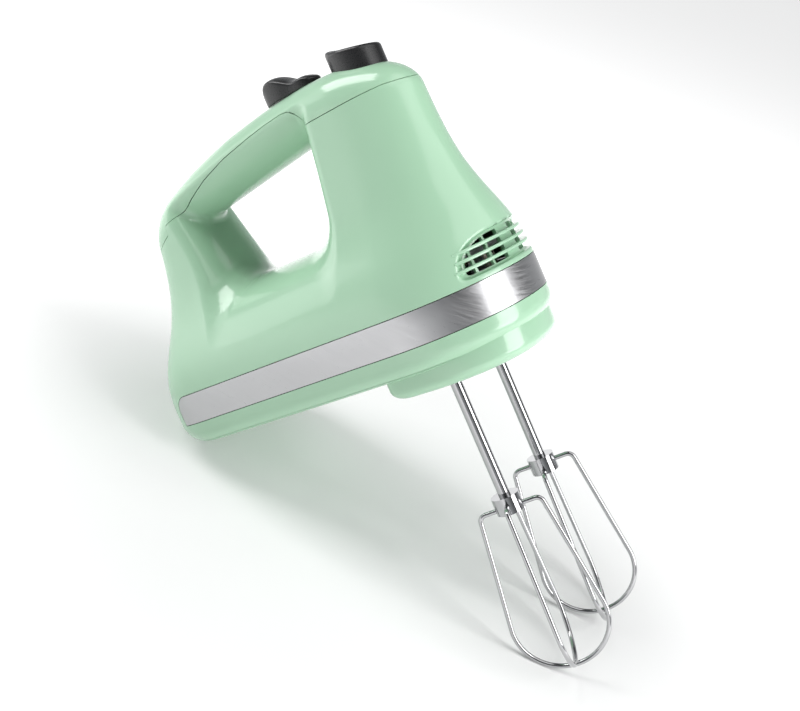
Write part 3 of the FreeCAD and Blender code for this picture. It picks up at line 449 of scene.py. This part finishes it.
GREEN = (0.375, 0.6, 0.42)
SHELL = surface_material("mint_shell", GREEN, 0.2, vary=0.012, grain=420.0, grain_depth=0.00001,
                         grain_strength=0.05, rough_vary=0.12, coat=0.35, coat_rough=0.04)
BAND = surface_material("satin_band", (0.5, 0.5, 0.51), 0.36, metallic=1.0, vary=0.03, grain=2600.0,
                        grain_depth=0.00001, grain_strength=0.35, stretch=(0.03, 0.03, 1.0))
BLACK = surface_material("charcoal_plastic", (0.017, 0.017, 0.018), 0.3, vary=0.12, grain=2200.0,
                         grain_depth=0.00002, grain_strength=0.25)
CHROME = surface_material("polished_steel", (0.47, 0.47, 0.48), 0.12, metallic=1.0, vary=0.02, grain=1500.0,
                          grain_depth=0.000004, grain_strength=0.12)
SLOT_LOOKS = {
    "shell": SHELL,
    "band": BAND,
    "beater_steel": CHROME,
    "controls": BLACK,
    "lamination": surface_material("laminated_steel", (0.2, 0.21, 0.22), 0.42, metallic=0.9, vary=0.1,
                                   grain=1400.0, stretch=(1, 0.05, 0.05), grain_strength=0.5),
    "copper": surface_material("enamelled_copper", (0.55, 0.2, 0.06), 0.3, metallic=0.9, vary=0.15,
                               grain=1700.0, stretch=(0.2, 1, 1), grain_strength=0.5, coat=0.4),
    "carbon": surface_material("pressed_carbon", (0.02, 0.02, 0.022), 0.6, vary=0.2, grain=2500.0),
    "bronze": surface_material("sintered_bronze", (0.5, 0.31, 0.12), 0.42, metallic=1.0, vary=0.1,
                               grain=3000.0),
    "ground_steel": surface_material("ground_steel", (0.52, 0.52, 0.54), 0.25, metallic=1.0, grain=2200.0,
                                     stretch=(1, 1, 0.1)),
    "spring_steel": surface_material("spring_steel", (0.42, 0.42, 0.44), 0.28, metallic=1.0, grain=2400.0),
    "zinc_screws": surface_material("zinc_plate", (0.6, 0.61, 0.62), 0.3, metallic=1.0, vary=0.08,
                                    grain=1800.0),
    "nylon": surface_material("natural_nylon", (0.72, 0.69, 0.58), 0.45, vary=0.04, grain=1100.0),
    "die_cast": surface_material("die_cast_zinc", (0.45, 0.46, 0.47), 0.5, metallic=0.85, vary=0.08,
                                 grain=1300.0, grain_strength=0.4),
    "black_plastic": surface_material("moulded_nylon", (0.03, 0.03, 0.032), 0.45, vary=0.15, grain=1500.0),
    "board": surface_material("circuit_board", (0.015, 0.09, 0.035), 0.35, vary=0.2, grain=900.0),
    "gland_rubber": surface_material("gland_rubber", (0.02, 0.02, 0.02), 0.7, vary=0.15, grain=1600.0),
}
SLOT_OF_NODE = {part["node"]: part["material_slot"] for part in frame["record"]["subparts"]}
for node_name, node_object in frame["nodes"].items():
    for material_slot in node_object.material_slots:
        material_slot.material = SLOT_LOOKS[SLOT_OF_NODE[node_name]]

# ------------------------------------------------------------------ housing pieces

STEP = 0.9
LIP, BASE_LIP = 1.8, 1.2
BUTTON_X, BUTTON_RADIUS = 163.4, 11.9
skin, skin_tris = sampled_surface(shell_field, (-6, -48, -3), (206, 48, 136), STEP)


def trimmed(fields):
    """The skin where every field is positive."""
    verts, tris = skin, skin_tris
    for field in fields:
        verts, tris = keep_side(verts, tris, field(*verts.T))
    return verts, tris


def shell_piece(name, fields, node, material=SHELL):
    verts, tris = add_lip(solid_field, *trimmed(fields), LIP)
    piece = mesh_object(name, verts, tris, "housing", node, material)
    return piece


# Each cut below is positive where the skin stays; ELSEWHERE marks the skin that a hole can't reach.
ELSEWHERE = 5.0
BUTTON_GAP = 0.35
STEM_X, STEM_HALF_LENGTH, STEM_HALF_WIDTH = 131.5, 8.6, 2.9
GLAND_HEIGHT, GLAND_RADIUS = 30, 5.5
SCREW_ROWS, SCREW_RADIUS = ((27, 22), (112, 27)), 3.3
BAND_OVERLAP = 0.02


def away_from_button(x, y, z):
    return np.where(z > 112, np.hypot(x - BUTTON_X, y) - BUTTON_RADIUS - BUTTON_GAP, ELSEWHERE)


def away_from_stem(x, y, z):
    slot = np.maximum(np.abs(x - STEM_X) - STEM_HALF_LENGTH, np.abs(y) - STEM_HALF_WIDTH)
    return np.where(z > 120, slot, ELSEWHERE)


def away_from_gland(x, y, z):
    return np.where(x < 20, np.hypot(y, z - GLAND_HEIGHT) - GLAND_RADIUS, ELSEWHERE)


def away_from_screws(x, y, z):
    gaps = [np.hypot(x - screw_x, np.abs(y) - screw_y) - SCREW_RADIUS for screw_x, screw_y in SCREW_ROWS]
    return np.where(z < 1.2, np.minimum.reduce(gaps), ELSEWHERE)


def above_seam(x, y, z):
    return seam_field(x, y, z) - SEAM_GAP / 2


def below_seam(x, y, z):
    return -seam_field(x, y, z) - SEAM_GAP / 2


def above_base(x, y, z):
    return z - BASE_SEAM - SEAM_GAP / 2


def below_base(x, y, z):
    return BASE_SEAM - SEAM_GAP / 2 - z


def outside_band(x, y, z):
    return band_field(x, y, z) - SEAM_GAP


def inside_band(x, y, z):
    return -band_field(x, y, z) - BAND_OVERLAP


shell_piece("top_cover_skin", [above_seam, away_from_button, away_from_stem], "top_cover")
shell_piece("main_housing_skin", [below_seam, above_base, outside_band, slot_field, away_from_gland],
            "main_housing")
shell_piece("trim_band_strip", [inside_band], "trim_band", BAND)


def ends_outline(front, rear, half, nose, tail, nose_full, tail_full, count=40):
    """A closed level outline, counter-clockwise seen from above."""
    points = []
    for i in range(-count, count + 1):
        angle = math.pi / 2 * i / count
        along, across = abs(math.cos(angle)), abs(math.sin(angle))
        points.append((front - nose + nose * along ** (2 / nose_full),
                       math.copysign(half * across ** (2 / nose_full), i)))
    for i in range(count, -count - 1, -1):
        angle = math.pi / 2 * i / count
        along, across = abs(math.cos(angle)), abs(math.sin(angle))
        points.append((rear + tail - tail * along ** (2 / tail_full),
                       math.copysign(half * across ** (2 / tail_full), i)))
    return np.array(points)


def ring_faces(rows, count):
    faces = []
    for row in range(rows - 1):
        for i in range(count):
            j = (i + 1) % count
            faces.append((row * count + i, row * count + j, (row + 1) * count + j, (row + 1) * count + i))
    return faces


# skirt: level outlines stepping in round the rounded rim, closed by a flat floor
SKIRT_DROP = 9.2
SKIRT_FRONT, SKIRT_REAR, SKIRT_HALF = 197, 129, 39.5
SKIRT_ROWS = [(5.6, 0.3), (3.0, 0.0), (-4.2, 0.0), (-5.6, 0.25), (-6.8, 0.95), (-7.8, 1.9), (-8.6, 3.1),
              (-9.05, 4.4), (-SKIRT_DROP, 6.0), (-SKIRT_DROP, 12.0)]
rows = []
for level, inset in SKIRT_ROWS:
    outline = ends_outline(SKIRT_FRONT - inset, SKIRT_REAR + inset, SKIRT_HALF - inset,
                           45 - inset * 0.8, 16 - inset * 0.5, 2.3, 3.0)
    rows.append(np.column_stack([outline, np.full(len(outline), level)]))
skirt_points = np.concatenate(rows)
skirt_faces = [face[::-1] for face in ring_faces(len(rows), len(rows[0]))]
skirt_mesh = mesh_object("base_skirt", skirt_points, skirt_faces, "housing", None, SHELL)
edit = bmesh.new()
edit.from_mesh(skirt_mesh.data)


def on_skirt_floor(vertex):
    return abs((np.array(vertex.co) - SHIFT) @ TURN[:, 2] / MM + SKIRT_DROP) < 0.1


rim_edges = [edge for edge in edit.edges if edge.is_boundary and all(map(on_skirt_floor, edge.verts))]
bmesh.ops.triangle_fill(edit, use_beauty=True, edges=rim_edges)
edit.to_mesh(skirt_mesh.data)
edit.free()
base_verts, base_tris = trimmed([below_base, away_from_screws])
base_verts, base_tris = add_lip(solid_field, base_verts, base_tris, BASE_LIP)
base_plate = mesh_object("base_cover_skin", base_verts, base_tris, "housing", "base_cover", SHELL)
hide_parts("base_cover")


# vent fins: strips that follow the nose, flush with the skin
def nose_points(level, count=60):
    half, front = float(look_up(HALF_WIDTH, level)), float(look_up(FRONT_END, level))
    nose = NOSE_REACH * (half / WIDEST_HALF) ** NOSE_TAPER
    outline = ends_outline(front, 0, half, nose, 30, NOSE_FULL, TAIL_FULL, count)[:2 * count + 1]
    return outline[outline[:, 0] > VENT_REAR - 0.6]


FIN_PROFILE = [(-3.0, -0.7), (-0.3, -0.7), (0.1, -0.5), (0.25, 0.0), (0.1, 0.5), (-0.3, 0.7), (-3.0, 0.7)]
for fin in range(ROW_COUNT - 1):
    level = FIRST_ROW + (fin + 0.5) * ROW_PITCH
    path = nose_points(level)
    along = np.gradient(path, axis=0)
    outward = np.column_stack([along[:, 1], -along[:, 0]])
    outward /= np.linalg.norm(outward, axis=1)[:, None]
    rings = [np.column_stack([path + outward * reach, np.full(len(path), level + rise)])
             for reach, rise in FIN_PROFILE]
    points = np.stack(rings, axis=1).reshape(-1, 3)
    sides = len(FIN_PROFILE)
    faces = ring_faces(len(path), sides)
    faces += [tuple(range(sides)), tuple(range(len(points) - sides, len(points)))[::-1]]
    fin_piece = mesh_object(f"vent_fin_{fin}", points, faces, "housing", "main_housing", SHELL, smooth=False)


# ------------------------------------------------------------------ release spring

# The spring stands on its guide.
spring_node = frame["nodes"]["eject_spring"]
spring = bpy.data.objects.new("release_spring", spring_node.data.copy())
bpy.context.scene.collection.objects.link(spring)
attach(spring, "housing")
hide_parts("eject_spring")
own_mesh(spring)

# ------------------------------------------------------------------ controls

def button_field(x, y, z):
    walls = np.hypot(x - BUTTON_X, y) - BUTTON_RADIUS
    dish = 0.8 * np.exp(-((x - BUTTON_X) ** 2 + y ** 2) / 40.0)
    rest = 1.1 * np.exp(-(((x - BUTTON_X + 8) / 3.2) ** 2 + (y / 8.0) ** 4))
    top = (z - (135.4 - 0.22 * (x - BUTTON_X)) + dish - rest) * 0.95
    return round_max(round_max(walls, top, 1.5), 118 - z, 0.4)


SLIDER_REAR, SLIDER_LENGTH, SLIDER_HALF, SLIDER_LOW = 113.0, 29.0, 8.4, 130.6
SLIDER_TOP = np.array([
    (-2, 1), (0, 3.0), (1.2, 5.4), (3, 9.0), (5, 10.4), (8, 10.9), (11, 10.2), (14, 8.3), (17, 6.0),
    (19.5, 4.9), (22, 5.1), (24.5, 5.0), (27, 3.8), (31, 1.6)])
SLIDER_LINE = smooth_table(SLIDER_TOP, 1, -2, 31, step=0.25, blur=0.7)


def slider_field(x, y, z):
    along = np.abs((x - SLIDER_REAR - SLIDER_LENGTH / 2) / (SLIDER_LENGTH / 2))
    across = np.abs(y) / SLIDER_HALF
    walls = ((along ** 2.5 + across ** 2.5) ** 0.4 - 1) * SLIDER_HALF
    crown = 1.6 * np.minimum(across, 1.3) ** 2.4
    top = (z - SLIDER_LOW - look_up(SLIDER_LINE, x - SLIDER_REAR) + crown) * 0.8
    waist = 0.9 * np.exp(-((x - SLIDER_REAR - 18) / 5.0) ** 2)
    return round_max(round_max(walls + waist, top, 0.8), SLIDER_LOW - z, 0.3)


for name, field, low, high, body, node in (
        ("eject_button_cap", button_field, (153, -13, 116), (178, 13, 140), "eject", "eject_button"),
        ("speed_slider_cap", slider_field, (109, -12, 129), (147, 12, 143), "speed_control", "speed_slider")):
    verts, tris = sampled_surface(field, low, high, 0.4)
    cap = mesh_object(name, verts, tris, body, node, BLACK)

# ------------------------------------------------------------------ stage, lights and camera

floor_mesh = bpy.data.meshes.new("floor")
FLOOR = 12.0
corners = [(-FLOOR, -FLOOR, 0), (FLOOR, -FLOOR, 0), (FLOOR, FLOOR, 0), (-FLOOR, FLOOR, 0)]
floor_mesh.from_pydata(corners, [], [(0, 1, 2, 3)])
floor = bpy.data.objects.new("floor", floor_mesh)
bpy.context.scene.collection.objects.link(floor)
floor_look = surface_material("studio_floor", (0.74, 0.74, 0.74), 0.9, vary=0.004, grain=30.0,
                              grain_strength=0.02, specular=0.1)
floor_shader = floor_look.node_tree.nodes["Principled BSDF"]
floor_shader.inputs["Emission Color"].default_value = (1, 1, 1, 1)
floor_nodes, floor_links = floor_look.node_tree.nodes, floor_look.node_tree.links
floor_place = floor_nodes.new("ShaderNodeTexCoord")
floor_reach = floor_nodes.new("ShaderNodeVectorMath")
floor_reach.operation = "LENGTH"
floor_links.new(floor_place.outputs["Object"], floor_reach.inputs[0])


def painted_glow_ramp(near, far, low, high):
    """The floor's painted glow, from low at one distance from the object to high at another."""
    ramp = floor_nodes.new("ShaderNodeMapRange")
    ramp.interpolation_type = "SMOOTHSTEP"
    for name, value in (("From Min", near), ("From Max", far), ("To Min", low), ("To Max", high)):
        ramp.inputs[name].default_value = value
    floor_links.new(floor_reach.outputs["Value"], ramp.inputs["Value"])
    return ramp.outputs["Result"]


HORIZON_GLOW, ZENITH_GLOW = 0.5, 0.09
# Painted light: the floor glows so that it reads white. The glow is weak within 0.1 m of the object and full from
# 0.42 m, which paints a shade round the object. From 3 m to 9 m it eases down to the horizon's glow.
floor_glow = floor_nodes.new("ShaderNodeMath")
floor_glow.operation = "MINIMUM"
floor_links.new(painted_glow_ramp(0.1, 0.42, 0.1, 0.72), floor_glow.inputs[0])
floor_links.new(painted_glow_ramp(3.0, 9.0, 0.72, HORIZON_GLOW), floor_glow.inputs[1])
floor_links.new(floor_glow.outputs["Value"], floor_shader.inputs["Emission Strength"])
floor_mesh.materials.append(floor_look)


def area_light(name, place, target, size, power):
    data = bpy.data.lights.new(name, "AREA")
    data.shape = "RECTANGLE"
    data.size, data.size_y = size
    data.energy = power
    light = bpy.data.objects.new(name, data)
    bpy.context.scene.collection.objects.link(light)
    light.location = place
    light.rotation_euler = (Vector(target) - Vector(place)).to_track_quat("-Z", "Y").to_euler()


AIM = (0.0, 0.0, 0.1)
area_light("crown_box", (-0.8, -0.2, 0.85), AIM, (0.5, 0.9), 9)
area_light("overhead", (0.3, 0.15, 1.3), AIM, (1.2, 1.0), 5)
area_light("nose_box", (0.85, 0.0, 0.6), AIM, (0.5, 0.9), 9)
area_light("heel_box", (-0.6, -0.2, 0.16), (-0.12, 0.0, 0.06), (0.25, 0.3), 0.3)

# The room is pale at the horizon and dim overhead, so that gloss shows the lamps.
world = bpy.data.worlds.new("studio")
world.use_nodes = True
room_nodes, room_links = world.node_tree.nodes, world.node_tree.links
room_place = room_nodes.new("ShaderNodeTexCoord")
room_height = room_nodes.new("ShaderNodeSeparateXYZ")
room_glow = room_nodes.new("ShaderNodeMapRange")
room_glow.interpolation_type = "SMOOTHSTEP"
for name, value in (("From Min", 0.12), ("From Max", 0.5), ("To Min", HORIZON_GLOW), ("To Max", ZENITH_GLOW)):
    room_glow.inputs[name].default_value = value
room_links.new(room_place.outputs["Generated"], room_height.inputs[0])
room_links.new(room_height.outputs["Z"], room_glow.inputs["Value"])
room_links.new(room_glow.outputs["Result"], room_nodes["Background"].inputs["Strength"])
room_nodes["Background"].inputs["Color"].default_value = (0.95, 0.98, 1.0, 1)
bpy.context.scene.world = world
bpy.context.scene.view_settings.view_transform = "Standard"

# The camera stands at the nose end of the user's right-hand side, a little above the housing.
CAMERA_TARGET = np.array([100.0, 0.0, 1.8])
CAMERA_TURN, CAMERA_RISE, CAMERA_ROLL = math.radians(36.8), math.radians(7.2), math.radians(24.0)
CAMERA_DISTANCE = 466.8
back = np.array([math.sin(CAMERA_TURN) * math.cos(CAMERA_RISE),
                 -math.cos(CAMERA_TURN) * math.cos(CAMERA_RISE), math.sin(CAMERA_RISE)])
level_right = np.array([math.cos(CAMERA_TURN), math.sin(CAMERA_TURN), 0.0])
level_up = np.cross(back, level_right)
right = level_right * math.cos(CAMERA_ROLL) - level_up * math.sin(CAMERA_ROLL)
up = level_right * math.sin(CAMERA_ROLL) + level_up * math.cos(CAMERA_ROLL)
place = to_row(CAMERA_TARGET + back * CAMERA_DISTANCE)
axes = np.stack([TURN @ right, TURN @ up, TURN @ back], axis=1)
camera_data = bpy.data.cameras.new("camera")
camera_data.sensor_width = 36.0
camera_data.lens = 43.9
camera_data.shift_x = 0.0437
camera_data.shift_y = 0.022
camera_data.clip_start = 0.01
camera = bpy.data.objects.new("camera", camera_data)
bpy.context.scene.collection.objects.link(camera)
camera.matrix_world = Matrix([[*axes[row], place[row]] for row in range(3)] + [[0, 0, 0, 1]])
bpy.context.scene.camera = camera
